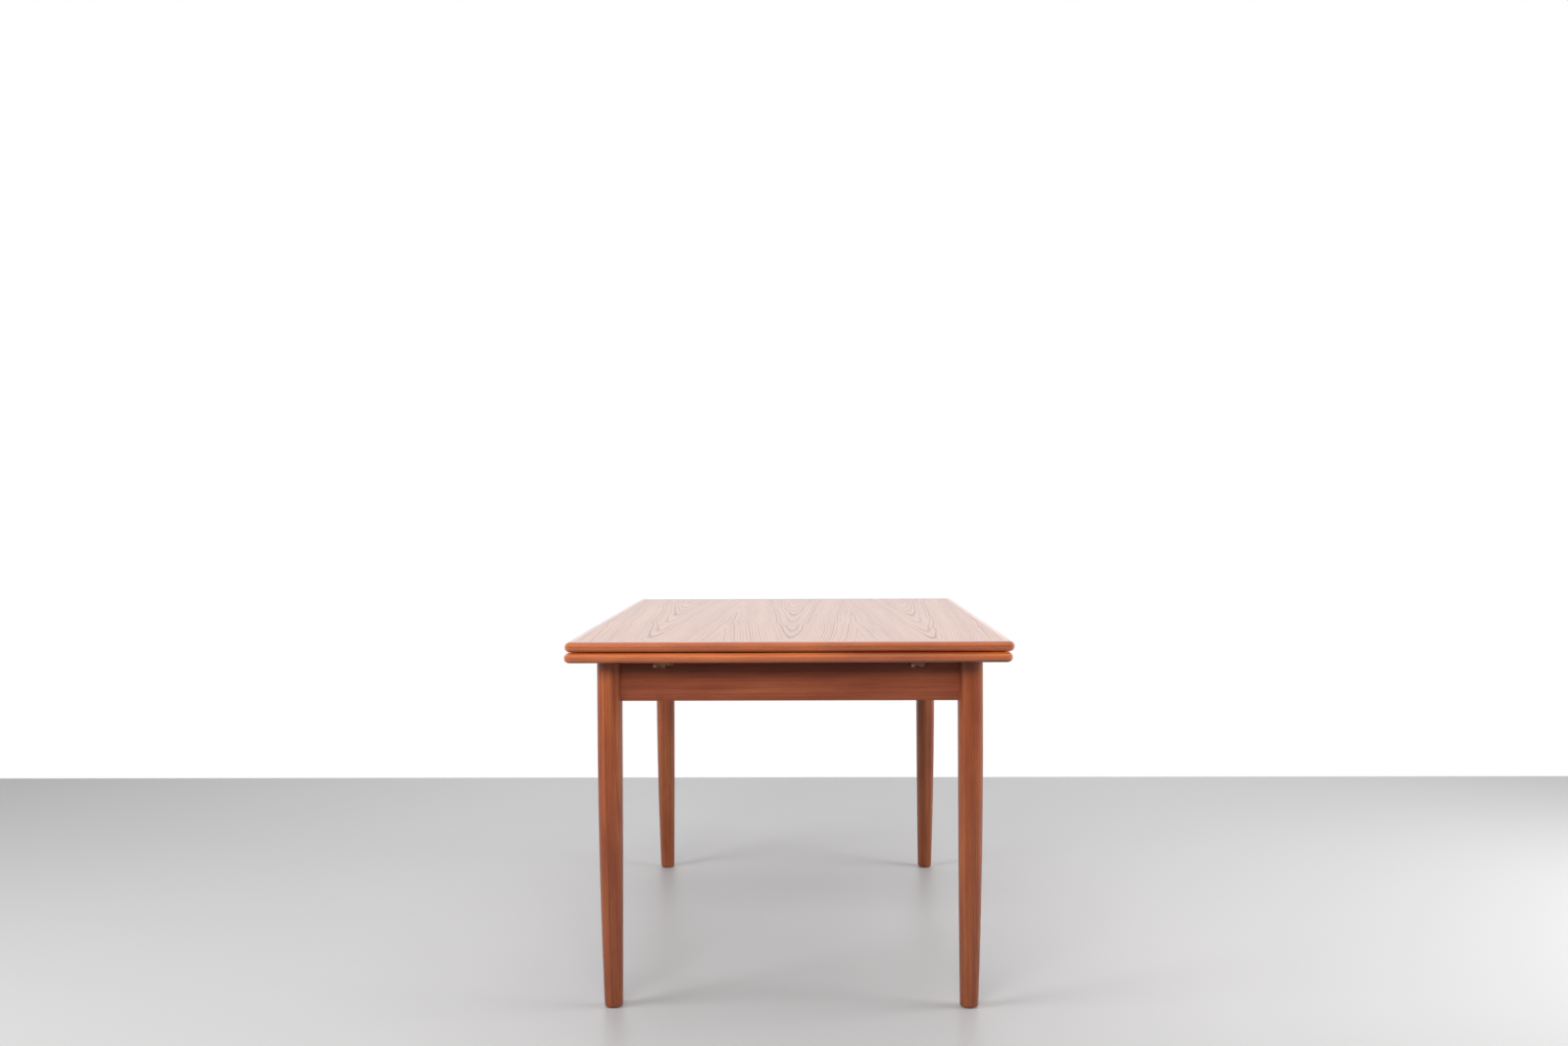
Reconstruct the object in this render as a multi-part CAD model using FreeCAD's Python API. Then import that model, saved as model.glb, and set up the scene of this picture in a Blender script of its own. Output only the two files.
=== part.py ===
import FreeCAD, Part
import math
import os

# Extending dining table in solid and veneered teak, with a loose main top and two draw leaves.
# Millimetres. X runs across the table, Y along it and Z up, from the floor under its middle.
# The near end is at -Y. Left is -X and right is +X, as seen from the near end.

# Driving sizes of the whole table
table_length = 1300.0
table_width = 870.0
table_height = 730.0
slab_thickness = 20.0
board_length = 298.0

# Edges of the top and the leaves
edge_flat = 0.4
corner_radius = 14.0
lipping_width = 16.0

# Gaps between the loose top, the leaves and the frame
slab_gap = 1.2
leaf_edge_gap = 1.0
frame_gap = 0.4
leaf_narrowing = 1.0
leaf_side_shift = 2.5
sliding_gap = 0.3
joint_gap = 0.1

# Legs
leg_diameter = 50.0
foot_diameter = 36.5
leg_end_inset = 77.0
leg_side_inset = 79.0
leg_plain_length = 90.0
leg_lean = 4.0
foot_rounding = 3.0
taper_power = 2.1
taper_steps = 6
rounding_steps = 2

# Glides under the legs
glide_diameter = 22.0
glide_height = 2.0

# Aprons and their stub tenons
apron_thickness = 22.0
apron_depth = 80.0
tenon_thickness = 8.0
tenon_length = 10.0
tenon_shoulder = 12.0

# Corner blocks and the bolts that pull the legs into their corners
block_thickness = 22.0
block_shoulder = 15.0
clamp_gap = 2.0
bolt_diameter = 8.0
bolt_gap = 0.4
bolt_bite = 20.0
bolt_head_width = 13.0
bolt_head_height = 5.5

# Bearers that carry the leaves
bearer_width = 25.0
bearer_depth = 13.5
bearer_setback = 50.0
bearer_side_inset = 182.5
bearer_side_gap = 12.5
bearer_grip = 80.0
bearer_tip_depth = 9.0
bearer_tip_length = 120.0
bearer_chamfer = 2.0
stop_length = 38.0
stop_depth = 12.0

# Notches of the end aprons, one of them cut wider towards the middle
notch_play = 3.5
wide_notch_extra = 8.0

# Pale end pins of the bearers
pin_diameter = 5.0
pin_length = 14.0
pin_proud = 2.0
pin_inset = 3.5

# Fixed centre board, its rail and its blocks
rail_thickness = 22.0
rail_depth = 80.0
rail_notch_gap = 4.0
board_block_size = 20.0
board_block_share = 0.7
board_block_length_share = 0.36
felt_thickness = 1.3
felt_width = 16.0
felt_end_inset = 60.0
felt_place_share = 0.82

# Pegs that locate the loose top, with the keepers that stop its lift
peg_diameter = 20.0
peg_socket_depth = 11.0
peg_place_share = 0.6
lift_spare = 4.0
keeper_width = 36.0
keeper_thickness = 8.0

# Cutting tools run past the faces that they cut by this much
overrun = 5.0
same_place = 0.001

# Levels and places that follow from the sizes above
leg_radius = leg_diameter / 2
leg_x = table_width / 2 - leg_side_inset
leg_y = table_length / 2 - leg_end_inset
top_underside = table_height - slab_thickness
leaf_top = top_underside - slab_gap
leaf_underside = leaf_top - slab_thickness
frame_top = leaf_underside - frame_gap
apron_bottom = frame_top - apron_depth
bolt_level = frame_top - apron_depth / 2
bearer_bottom = leaf_underside - bearer_depth
notch_floor = bearer_bottom - sliding_gap
board_half_length = board_length / 2
leaf_inner_edge = board_half_length + leaf_edge_gap
leaf_length = table_length / 2 - leaf_inner_edge
leaf_travel = leaf_length + leaf_edge_gap
leaf_half_width = table_width / 2 - leaf_narrowing
near_bearer_x = table_width / 2 - bearer_side_inset
far_bearer_x = near_bearer_x - bearer_width - bearer_side_gap
apron_inner_y = leg_y - apron_thickness / 2
apron_inner_x = leg_x - apron_thickness / 2
lift_travel = slab_thickness + slab_gap + lift_spare
peg_y = board_half_length * peg_place_share
peg_end = frame_top - lift_travel - sliding_gap

sides = (("left", -1), ("right", 1))
up = FreeCAD.Vector(0, 0, 1)


def point(x, y, z):
    return FreeCAD.Vector(x, y, z)


def block(x0, x1, y0, y1, z0, z1):
    return Part.makeBox(x1 - x0, y1 - y0, z1 - z0, point(x0, y0, z0))


def rod(diameter, start, direction, length):
    return Part.makeCylinder(diameter / 2, length, start, direction)


def prism(corners, z0, z1):
    outline = [point(x, y, z0) for x, y in corners]
    face = Part.Face(Part.makePolygon(outline + outline[:1]))
    return face.extrude(point(0, 0, z1 - z0))


def half_turned(shape):
    # The far end is the near end turned half round about the middle of the table.
    return shape.rotated(point(0, 0, 0), up, 180)


def at_corner(shape, side_x, side_y):
    # Pieces of the near left corner, at -X and -Y, are mirrored to the other corners.
    if side_x > 0:
        shape = shape.mirror(point(0, 0, 0), point(1, 0, 0))
    if side_y > 0:
        shape = shape.mirror(point(0, 0, 0), point(0, 1, 0))
    return shape


def at_all_corners(shape):
    return [at_corner(shape, x, y) for x in (-1, 1) for y in (-1, 1)]


def save(name, *shapes):
    solids = [solid for shape in shapes for solid in shape.Solids]
    whole = solids[0] if len(solids) == 1 else Part.makeCompound(solids)
    whole.exportStep("parts/" + name + ".step")
    box = whole.BoundBox
    print(name, len(solids), "solid(s)", whole.isValid(), round(whole.Volume),
          "x", round(box.XMin, 1), round(box.XMax, 1), "y", round(box.YMin, 1), round(box.YMax, 1),
          "z", round(box.ZMin, 1), round(box.ZMax, 1))


# Board with half-round edges, apart from the straight ends named in plain_ends
def rounded_board(x0, x1, y0, y1, z0, z1, plain_ends):
    def at_plain_end(edge):
        return any(all(abs(v.Y - end) < same_place for v in edge.Vertexes) for end in plain_ends)

    def upright(edge):
        first, last = edge.Vertexes[0], edge.Vertexes[-1]
        return abs(first.Z - last.Z) > same_place

    board = block(x0, x1, y0, y1, z0, z1)
    corners = [edge for edge in board.Edges if upright(edge) and not at_plain_end(edge)]
    if corners:
        board = board.makeFillet(corner_radius, corners)
    rim = [edge for edge in board.Edges if not upright(edge) and not at_plain_end(edge)]
    return board.makeFillet((z1 - z0 - edge_flat) / 2, rim)


# A lipped board comes apart into its core and four mitred lippings
def lipped_pieces(board, x0, x1, y0, y1, z0, z1):
    inner_x0 = x0 + lipping_width
    inner_x1 = x1 - lipping_width
    inner_y0 = y0 + lipping_width
    inner_y1 = y1 - lipping_width
    core_space = block(inner_x0, inner_x1, inner_y0, inner_y1, z0 - overrun, z1 + overrun)
    rim = board.cut(core_space)
    low_left = (x0 - overrun, y0 - overrun)
    low_right = (x1 + overrun, y0 - overrun)
    high_left = (x0 - overrun, y1 + overrun)
    high_right = (x1 + overrun, y1 + overrun)
    wedges = {
        "low": (low_left, low_right, (inner_x1, inner_y0), (inner_x0, inner_y0)),
        "high": (high_right, high_left, (inner_x0, inner_y1), (inner_x1, inner_y1)),
        "left": (high_left, low_left, (inner_x0, inner_y0), (inner_x0, inner_y1)),
        "right": (low_right, high_right, (inner_x1, inner_y1), (inner_x1, inner_y0)),
    }
    lippings = {}
    for side, corners in wedges.items():
        lippings[side] = rim.common(prism(corners, z0 - overrun, z1 + overrun))
    return board.common(core_space), lippings


# Tenons: a stub at the end of an apron, and the mortise that it fits
def end_tenon(gap):
    # On the near apron, at the left leg
    tenon_x = leg_x - leg_radius
    half = tenon_thickness / 2 + gap
    return block(-tenon_x - tenon_length - gap, -tenon_x + tenon_length, -leg_y - half, -leg_y + half,
                 apron_bottom + tenon_shoulder - gap, frame_top - tenon_shoulder + gap)


def side_tenon(gap):
    # On the left apron, at the near leg
    tenon_y = leg_y - leg_radius
    half = tenon_thickness / 2 + gap
    return block(-leg_x - half, -leg_x + half, -tenon_y - tenon_length - gap, -tenon_y + tenon_length,
                 apron_bottom + tenon_shoulder - gap, frame_top - tenon_shoulder + gap)


def rail_tenon(gap):
    # On the centre rail, at the left apron
    half = tenon_thickness / 2 + gap
    return block(-apron_inner_x - tenon_length - gap, -apron_inner_x + tenon_length, -half, half,
                 frame_top - rail_depth + tenon_shoulder - gap, frame_top - tenon_shoulder + gap)


# Corner fittings, in the near left corner
inward = point(math.sqrt(1 / 2), math.sqrt(1 / 2), 0)


def along_diagonal(distance):
    return point(-leg_x, -leg_y, bolt_level) + inward * distance


block_face = leg_radius + clamp_gap
head_face = block_face + block_thickness


def leg_bolt(gap):
    # The bare shank, or the hole for it
    start = leg_radius - bolt_bite
    return rod(bolt_diameter + 2 * gap, along_diagonal(start), inward, head_face + bolt_head_height - start)


def headed_bolt():
    reach = bolt_head_width / math.sqrt(3)
    angles = [math.radians(360 * k / 6) for k in range(6)]
    head = prism([(reach * math.cos(angle), reach * math.sin(angle)) for angle in angles], 0, bolt_head_height)
    head.rotate(point(0, 0, 0), point(0, 1, 0), 90)
    head.rotate(point(0, 0, 0), up, 45)
    head.translate(along_diagonal(head_face))
    return head.fuse(leg_bolt(0)).removeSplitter()


# The block lies across the corner: each slanted face is a line where its two distances add up
def block_line(distance):
    return distance * math.sqrt(2) - apron_thickness / 2


def corner_block():
    apron_face = apron_thickness / 2
    near_line = block_line(block_face)
    far_line = block_line(head_face)
    corners = [(apron_face, near_line), (near_line, apron_face), (far_line, apron_face), (apron_face, far_line)]
    placed = [(x - leg_x, y - leg_y) for x, y in corners]
    body = prism(placed, apron_bottom + block_shoulder, frame_top - block_shoulder)
    return body.cut(leg_bolt(bolt_gap))


# Leg: round and plain behind the aprons, then drawn in on its outer sides down to the foot
def leg_ring(level, radius, lean):
    return Part.Wire(Part.makeCircle(radius, point(-leg_x + lean, -leg_y + lean, level), up))


def leg():
    taper_top = frame_top - leg_plain_length
    taper_end = glide_height + foot_rounding
    loss = leg_radius - foot_diameter / 2
    rings = [leg_ring(frame_top, leg_radius, 0)]
    for step in range(taper_steps + 1):
        share = step / taper_steps
        drawn = share ** taper_power
        rings.append(leg_ring(taper_top - (taper_top - taper_end) * share, leg_radius - loss * drawn,
                              leg_lean * drawn))
    for step in range(1, rounding_steps + 1):
        turn = math.radians(90 * step / rounding_steps)
        rings.append(leg_ring(taper_end - foot_rounding * math.sin(turn),
                              foot_diameter / 2 - foot_rounding * (1 - math.cos(turn)), leg_lean))
    body = Part.makeLoft(rings, True, True)
    return body.cut([end_tenon(joint_gap), side_tenon(joint_gap), leg_bolt(0)])


def glide():
    return rod(glide_diameter, point(-leg_x + leg_lean, -leg_y + leg_lean, 0), up, glide_height)


# Aprons: the ends are hollowed to the round legs
def leg_hollows():
    hollow = rod(leg_diameter + 2 * joint_gap, point(-leg_x, -leg_y, apron_bottom - overrun), up,
                 apron_depth + 2 * overrun)
    return at_all_corners(hollow)


def end_apron(bearer_x):
    half = apron_thickness / 2
    apron = block(-leg_x, leg_x, -leg_y - half, -leg_y + half, apron_bottom, frame_top)
    apron = apron.cut(leg_hollows())
    apron = apron.fuse([at_corner(end_tenon(0), side, -1) for side in (-1, 1)])
    half_notch = bearer_width / 2 + notch_play
    cuts = []
    for name, side in sides:
        widening = wide_notch_extra if name == "left" else 0
        outer = side * (bearer_x + half_notch)
        inner = side * (bearer_x - half_notch - widening)
        cuts.append(block(min(outer, inner), max(outer, inner), -leg_y - half - overrun, -leg_y + half + overrun,
                          notch_floor, frame_top + overrun))
    return apron.cut(cuts).removeSplitter()


def side_apron():
    half = apron_thickness / 2
    apron = block(-leg_x - half, -leg_x + half, -leg_y, leg_y, apron_bottom, frame_top)
    apron = apron.cut(leg_hollows())
    apron = apron.fuse([at_corner(side_tenon(0), -1, side) for side in (-1, 1)])
    return apron.cut(rail_tenon(joint_gap)).removeSplitter()


# Centre rail: joins the side aprons under the centre board, notched for all four bearers
def centre_rail():
    half = rail_thickness / 2
    rail = block(-apron_inner_x, apron_inner_x, -half, half, frame_top - rail_depth, frame_top)
    rail = rail.fuse([rail_tenon(0), half_turned(rail_tenon(0))])
    floor = bearer_bottom - stop_depth - sliding_gap
    reach = bearer_width / 2 + leaf_side_shift + rail_notch_gap
    for side in (-1, 1):
        outer = side * (near_bearer_x + reach)
        inner = side * (far_bearer_x - reach)
        notch = block(min(outer, inner), max(outer, inner), -half - overrun, half + overrun,
                      floor, frame_top + overrun)
        rail = rail.cut(notch)
    return rail.removeSplitter()


# Glue blocks in the angle of side apron and centre board
def board_block():
    place = board_half_length * board_block_share
    half = board_half_length * board_block_length_share / 2
    return block(-apron_inner_x, -apron_inner_x + board_block_size, -place - half, -place + half,
                 frame_top - board_block_size, frame_top)


# Centre board: fixed on the frame between the leaves, bored for the pegs of the loose top
def centre_board():
    board = rounded_board(-leaf_half_width, leaf_half_width, -board_half_length, board_half_length,
                          frame_top, frame_top + slab_thickness, (-board_half_length, board_half_length))
    core_x = leaf_half_width - lipping_width
    core_space = block(-core_x, core_x, -board_half_length - overrun, board_half_length + overrun,
                       frame_top - overrun, frame_top + slab_thickness + overrun)
    bores = [rod(peg_diameter + 2 * sliding_gap, point(0, side * peg_y, frame_top - overrun), up,
                 slab_thickness + 2 * overrun) for side in (-1, 1)]
    core = board.common(core_space).cut(bores)
    save("centre_board", core)
    edges = board.cut(core_space).Solids
    edges.sort(key=lambda edge: edge.CenterOfMass.x)
    for (name, side), edge in zip(sides, edges):
        save("centre_board_lipping_" + name, edge)


def felt_strip():
    place = board_half_length * felt_place_share
    half_length = leaf_half_width - felt_end_inset
    return block(-half_length, half_length, -place - felt_width / 2, -place + felt_width / 2,
                 frame_top + slab_thickness, frame_top + slab_thickness + felt_thickness)


# Loose main top: a lipped board with two pegs let into its underside
def peg():
    length = top_underside - peg_end + peg_socket_depth
    return rod(peg_diameter, point(0, -peg_y, peg_end), up, length)


def keeper():
    half = keeper_width / 2
    return block(-half, half, -peg_y - half, -peg_y + half, peg_end - keeper_thickness, peg_end)


def main_top():
    half_x = table_width / 2
    half_y = table_length / 2
    board = rounded_board(-half_x, half_x, -half_y, half_y, top_underside, table_height, ())
    core, lippings = lipped_pieces(board, -half_x, half_x, -half_y, half_y, top_underside, table_height)
    save("top_panel", core.cut([peg(), half_turned(peg())]))
    for side, name in (("low", "near"), ("high", "far"), ("left", "left"), ("right", "right")):
        save("top_lipping_" + name, lippings[side])
    save("top_pegs", peg(), half_turned(peg()))
    save("peg_keepers", keeper(), half_turned(keeper()))


# Bearer: a long bar under the leaf that reaches in under the centre board
def bearer_outline():
    outer = -table_length / 2 + bearer_setback
    inner = leaf_travel - board_half_length + bearer_grip
    relieved = frame_top - sliding_gap
    return [
        (outer, leaf_underside),
        (outer, bearer_bottom + bearer_chamfer),
        (outer + bearer_chamfer, bearer_bottom),
        (inner - bearer_tip_length, bearer_bottom),
        (inner, relieved - bearer_tip_depth),
        (inner, relieved),
        (-leaf_inner_edge, relieved),
        (-leaf_inner_edge, leaf_underside),
    ]


def bearer_bar(x):
    outline = [point(x - bearer_width / 2, y, z) for y, z in bearer_outline()]
    face = Part.Face(Part.makePolygon(outline + outline[:1]))
    return face.extrude(point(bearer_width, 0, 0))


def bearer_pin(x):
    outer = -table_length / 2 + bearer_setback
    place = point(x - bearer_width / 2 + pin_inset, outer - pin_proud, bearer_bottom + pin_inset)
    return rod(pin_diameter, place, point(0, 1, 0), pin_length)


# Stop block under the bearer: it meets the end apron when the leaf is fully drawn
def stop_block(x):
    outer = -apron_inner_y + leaf_travel + sliding_gap
    return block(x - bearer_width / 2, x + bearer_width / 2, outer, outer + stop_length,
                 bearer_bottom - stop_depth, bearer_bottom)


# Draw leaf, as it lies closed at the near end. The far one is turned half round.
# Its first side is the left one, seen from the end that it draws out of.
def draw_leaf(leaf_name, bearer_x, place):
    x0 = -leaf_half_width - leaf_side_shift
    x1 = leaf_half_width - leaf_side_shift
    y0 = -table_length / 2
    y1 = -leaf_inner_edge
    board = rounded_board(x0, x1, y0, y1, leaf_underside, leaf_top, (y1,))
    core, lippings = lipped_pieces(board, x0, x1, y0, y1, leaf_underside, leaf_top)
    bearer_xs = [side * bearer_x - leaf_side_shift for side in (-1, 1)]
    save(leaf_name + "_panel", place(core))
    for side, name in (("low", "outer"), ("high", "inner"), ("left", "first_side"), ("right", "second_side")):
        save(leaf_name + "_lipping_" + name, place(lippings[side]))
    for name, x in zip(("first", "second"), bearer_xs):
        save(leaf_name + "_bearer_" + name, place(bearer_bar(x).cut(bearer_pin(x))))
    save(leaf_name + "_stop_blocks", *[place(stop_block(x)) for x in bearer_xs])
    save(leaf_name + "_end_pins", *[place(bearer_pin(x)) for x in bearer_xs])


def in_place(shape):
    return shape


os.makedirs("parts", exist_ok=True)

# Frame
for end_name, end_side in (("near", -1), ("far", 1)):
    for side_name, side in sides:
        save("leg_" + end_name + "_" + side_name, at_corner(leg(), side, end_side))
save("end_apron_near", end_apron(near_bearer_x))
save("end_apron_far", half_turned(end_apron(far_bearer_x)))
save("side_apron_left", side_apron())
save("side_apron_right", at_corner(side_apron(), 1, -1))
save("corner_blocks", *at_all_corners(corner_block()))
save("leg_bolts", *at_all_corners(headed_bolt()))
save("foot_glides", *at_all_corners(glide()))

# Fixed centre board and what carries it
save("centre_rail", centre_rail())
save("centre_board_blocks", *at_all_corners(board_block()))
centre_board()
save("felt_strips", felt_strip(), half_turned(felt_strip()))

# Moving pieces
main_top()
draw_leaf("near_leaf", near_bearer_x, in_place)
draw_leaf("far_leaf", far_bearer_x, half_turned)
print("leaf travel", leaf_travel, "lift of the top", lift_travel)
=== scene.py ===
# %% [markdown]
# # An extending dining table in teak
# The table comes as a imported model: legs, aprons, a loose main top and two draw leaves, each a separate
# piece in its true place. This lesson dresses that model. It sets up the camera and a plain studio, makes
# each finish from texture nodes, and models the small pieces that the construction model leaves out.

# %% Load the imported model
import math

import bmesh
import bpy
from mathutils import Matrix, Vector


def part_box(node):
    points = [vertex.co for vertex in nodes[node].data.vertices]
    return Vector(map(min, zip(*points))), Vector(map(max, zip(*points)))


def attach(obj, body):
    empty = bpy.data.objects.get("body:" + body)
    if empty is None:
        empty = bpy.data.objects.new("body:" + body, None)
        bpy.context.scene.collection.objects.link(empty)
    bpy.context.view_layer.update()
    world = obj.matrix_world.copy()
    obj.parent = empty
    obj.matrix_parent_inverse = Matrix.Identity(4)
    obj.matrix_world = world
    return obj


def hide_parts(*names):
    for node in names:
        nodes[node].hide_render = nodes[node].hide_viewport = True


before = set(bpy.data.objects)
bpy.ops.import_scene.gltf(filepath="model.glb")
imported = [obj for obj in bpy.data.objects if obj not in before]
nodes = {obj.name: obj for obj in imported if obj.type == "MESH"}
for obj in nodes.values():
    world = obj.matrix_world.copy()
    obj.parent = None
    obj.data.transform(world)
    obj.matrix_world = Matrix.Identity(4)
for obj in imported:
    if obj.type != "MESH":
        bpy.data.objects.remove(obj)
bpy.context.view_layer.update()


# %% [markdown]
# # The camera
# The photograph was taken from one short end, a little above the table, with a normal wide lens. A camera
# can be aimed with a Track To constraint, but here its place and angles were worked out from the table's
# edges, so they are set directly: a turn about the upright axis, then the tilt, then a small roll about the
# line of sight.

# %% Camera
eye = Vector((0.0387, -3.5209, 0.9978))
turn_to_right = math.radians(-0.942)
tilt_up = math.radians(-0.78)
roll = math.radians(-0.257)
focal_length = 34.332
film_width = 36

camera = bpy.data.objects.new("camera", bpy.data.cameras.new("camera"))
bpy.context.scene.collection.objects.link(camera)
camera.data.sensor_width = film_width
camera.data.lens = focal_length
camera.matrix_world = (
    Matrix.Translation(eye)
    @ Matrix.Rotation(-turn_to_right, 4, "Z")
    @ Matrix.Rotation(math.pi / 2 + tilt_up, 4, "X")
    @ Matrix.Rotation(roll, 4, "Z")
)
bpy.context.scene.camera = camera
print("camera at", tuple(eye), "with a lens of", focal_length, "mm")

# %% [markdown]
# # Words for building materials
# A material is a tree of small steps. It could be wired by hand in the editor, but in a script each step is
# one call: `step` adds a node and feeds its inputs in order, with a number or with another step's output.
# `sums` does arithmetic, `mixed` blends two colours, `shaded` darkens one by another, and `toned` runs a
# value through a colour ramp. `cover` and `dented` bring the results to the shader.

# %% Start a material and add steps to it
def start_material(name):
    material = bpy.data.materials.new(name)
    material.use_nodes = True
    return material, material.node_tree, material.node_tree.nodes["Principled BSDF"]


def feed(tree, socket, value):
    if isinstance(value, bpy.types.NodeSocket):
        tree.links.new(value, socket)
    elif value is not None:
        socket.default_value = value


def step(tree, kind, *inputs, **settings):
    made = tree.nodes.new("ShaderNode" + kind)
    for name, value in settings.items():
        setattr(made, name, value)
    for socket, value in zip(made.inputs, inputs):
        feed(tree, socket, value)
    return made.outputs[0]


def sums(tree, operation, first, second=None, third=None):
    return step(tree, "Math", first, second, third, operation=operation)


print("steps ready")


# %% Where a point lies, and which ray looks at it
def table_point(tree):
    return tree.nodes.new("ShaderNodeTexCoord").outputs["Object"]


def split(tree, point):
    return step(tree, "SeparateXYZ", point).node.outputs


def looking_rays(tree):
    # The first is 1 where the camera looks straight at a point, the second where a reflection shows it
    light_path = tree.nodes.new("ShaderNodeLightPath").outputs
    mirrored = sums(tree, "MAXIMUM", light_path["Is Glossy Ray"], light_path["Is Transmission Ray"])
    return light_path["Is Camera Ray"], mirrored


print("places and rays ready")


# %% Colours
def srgb(red, green, blue):
    # A screen colour from 0 to 255, as the linear light that nodes work in
    def linear(level):
        share = level / 255
        return share / 12.92 if share <= 0.04045 else ((share + 0.055) / 1.055) ** 2.4
    return tuple(linear(level) for level in (red, green, blue))


def mixed(tree, share, first, second, way="MIX"):
    made = tree.nodes.new("ShaderNodeMix")
    made.data_type = "RGBA"
    made.blend_type = way
    made.clamp_factor = True
    colours = [(*colour, 1) if isinstance(colour, tuple) else colour for colour in (first, second)]
    # The sockets between the share and the two colours are those for numbers and vectors
    for index, value in zip((0, 6, 7), (share, *colours)):
        feed(tree, made.inputs[index], value)
    return made.outputs[2]


def shaded(tree, colour, shade, share=1.0):
    return mixed(tree, share, colour, shade, "MULTIPLY")


def toned(tree, value, stops):
    made = tree.nodes.new("ShaderNodeValToRGB")
    tree.links.new(value, made.inputs[0])
    ramp = made.color_ramp
    while len(ramp.elements) < len(stops):
        ramp.elements.new(0.5)
    for element, (place, colour) in zip(ramp.elements, stops):
        element.position = place
        element.color = (*colour, 1) if isinstance(colour, tuple) else (colour, colour, colour, 1)
    return made.outputs[0]


print("colours ready")


# %% What reaches the shader
def cover(tree, shader, colour, roughness):
    feed(tree, shader.inputs["Base Color"], colour)
    feed(tree, shader.inputs["Roughness"], roughness)


def dented(tree, shader, height, strength, depth, inwards=False):
    bump = tree.nodes.new("ShaderNodeBump")
    bump.invert = inwards
    bump.inputs["Strength"].default_value = strength
    bump.inputs["Distance"].default_value = depth
    tree.links.new(height, bump.inputs["Height"])
    tree.links.new(bump.outputs["Normal"], shader.inputs["Normal"])


print("covers and dents ready")

# %% [markdown]
# # The studio
# The object stands on a plain pale floor, with nothing but white behind it. A backdrop sheet would do, but it
# would stand in the way of views from behind, so the white comes from the world: it is at full white for the
# camera and in reflections of the wall behind the table, a little stronger high up on it, and much weaker as
# a lamp. Reflections of the room on the camera's side are dimmer, as the dark shade under the table's edge
# shows, and those of the ceiling lie in between. The floor ends behind the table, where the wall of a small
# studio would be. It is painted a little paler towards the right and the wall, a painted light as if more
# light fell there; it looks paler than the light that it gives back, and lets the camera see through it from
# below.

# %% Floor sheet
floor_left, floor_right = -3.6, 3.6
floor_front, floor_back = -3.6, 1.9
floor_size = (floor_right - floor_left, floor_back - floor_front, 1)
floor_middle = ((floor_left + floor_right) / 2, (floor_front + floor_back) / 2, 0)

floor_mesh = bmesh.new()
bmesh.ops.create_grid(floor_mesh, x_segments=1, y_segments=1, size=0.5)
bmesh.ops.scale(floor_mesh, vec=floor_size, verts=floor_mesh.verts)
bmesh.ops.translate(floor_mesh, vec=floor_middle, verts=floor_mesh.verts)
floor_data = bpy.data.meshes.new("floor")
floor_mesh.to_mesh(floor_data)
floor_mesh.free()
floor = bpy.data.objects.new("floor", floor_data)
bpy.context.scene.collection.objects.link(floor)
print("floor reaches", floor_back, "m behind the middle of the table")

# %% Floor paint
paint_seen = srgb(222, 221, 222)
paint_that_lights = srgb(108, 106, 105)
floor_roughness = 0.42
floor_shine = 0.3

# Painted light: the paint grows paler over these stretches, to the right and towards the wall, as if more
# light fell there
right_stretch = (-2.0, 2.0)
painted_light_right_stops = [(0.0, 0.82), (0.5, 0.86), (1.0, 1.0)]
wall_stretch = (-2.5, floor_back)
painted_light_wall_stops = [(0.0, 0.88), (1.0, 1.0)]

floor_material, tree, shader = start_material("pale_floor")
for_camera, mirrored = looking_rays(tree)
place = split(tree, table_point(tree))
# Painted light: these two make the floor paler to the right and towards the wall
painted_light_to_right = step(tree, "MapRange", place["X"], *right_stretch)
painted_light_to_wall = step(tree, "MapRange", place["Y"], *wall_stretch)
paint = shaded(tree, paint_seen, toned(tree, painted_light_to_right, painted_light_right_stops))
paint = shaded(tree, paint, toned(tree, painted_light_to_wall, painted_light_wall_stops))
looked_at = sums(tree, "MAXIMUM", for_camera, mirrored)
cover(tree, shader, mixed(tree, looked_at, paint_that_lights, paint), floor_roughness)
shader.inputs["Specular IOR Level"].default_value = floor_shine
floor.data.materials.append(floor_material)
print("floor painted with a roughness of", floor_roughness)

# %% A floor that is clear from below
from_below = tree.nodes.new("ShaderNodeNewGeometry").outputs["Backfacing"]
clear = tree.nodes.new("ShaderNodeBsdfTransparent").outputs[0]
seen_through = sums(tree, "MULTIPLY", from_below, for_camera)
surface = step(tree, "MixShader", seen_through, shader.outputs[0], clear)
tree.links.new(surface, tree.nodes["Material Output"].inputs["Surface"])
print("the camera looks through", floor.name, "from below")

# %% World
lamp_level = 0.17
room_level = 0.3
ceiling_level = 0.8
high_wall_level = 1.25

# Stretches of the direction's Y, towards the wall, and Z, upwards, over which one level fades into the next
ahead_stretch = (-0.35, 0.25)
high_wall_stretch = (0.15, 0.45)
ceiling_stretch = (0.25, 0.6)

world = bpy.data.worlds.new("studio")
world.use_nodes = True
bpy.context.scene.world = world
tree = world.node_tree
background = tree.nodes["Background"]
background.inputs["Color"].default_value = (1, 1, 1, 1)
for_camera, mirrored = looking_rays(tree)
direction = split(tree, tree.nodes.new("ShaderNodeTexCoord").outputs["Generated"])
wall_ahead = step(tree, "MapRange", direction["Y"], *ahead_stretch, room_level, 1.0)
wall_high = step(tree, "MapRange", direction["Z"], *high_wall_stretch, 1.0, high_wall_level)
ceiling = step(tree, "MapRange", direction["Z"], *ceiling_stretch, room_level, ceiling_level)
around = sums(tree, "MAXIMUM", sums(tree, "MULTIPLY", wall_ahead, wall_high), ceiling)
seen = sums(tree, "MAXIMUM", for_camera, sums(tree, "MULTIPLY", mirrored, around))
tree.links.new(sums(tree, "MAXIMUM", seen, lamp_level), background.inputs["Strength"])
print("world as a lamp:", lamp_level, "and in reflections from the room's side:", room_level)

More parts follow.
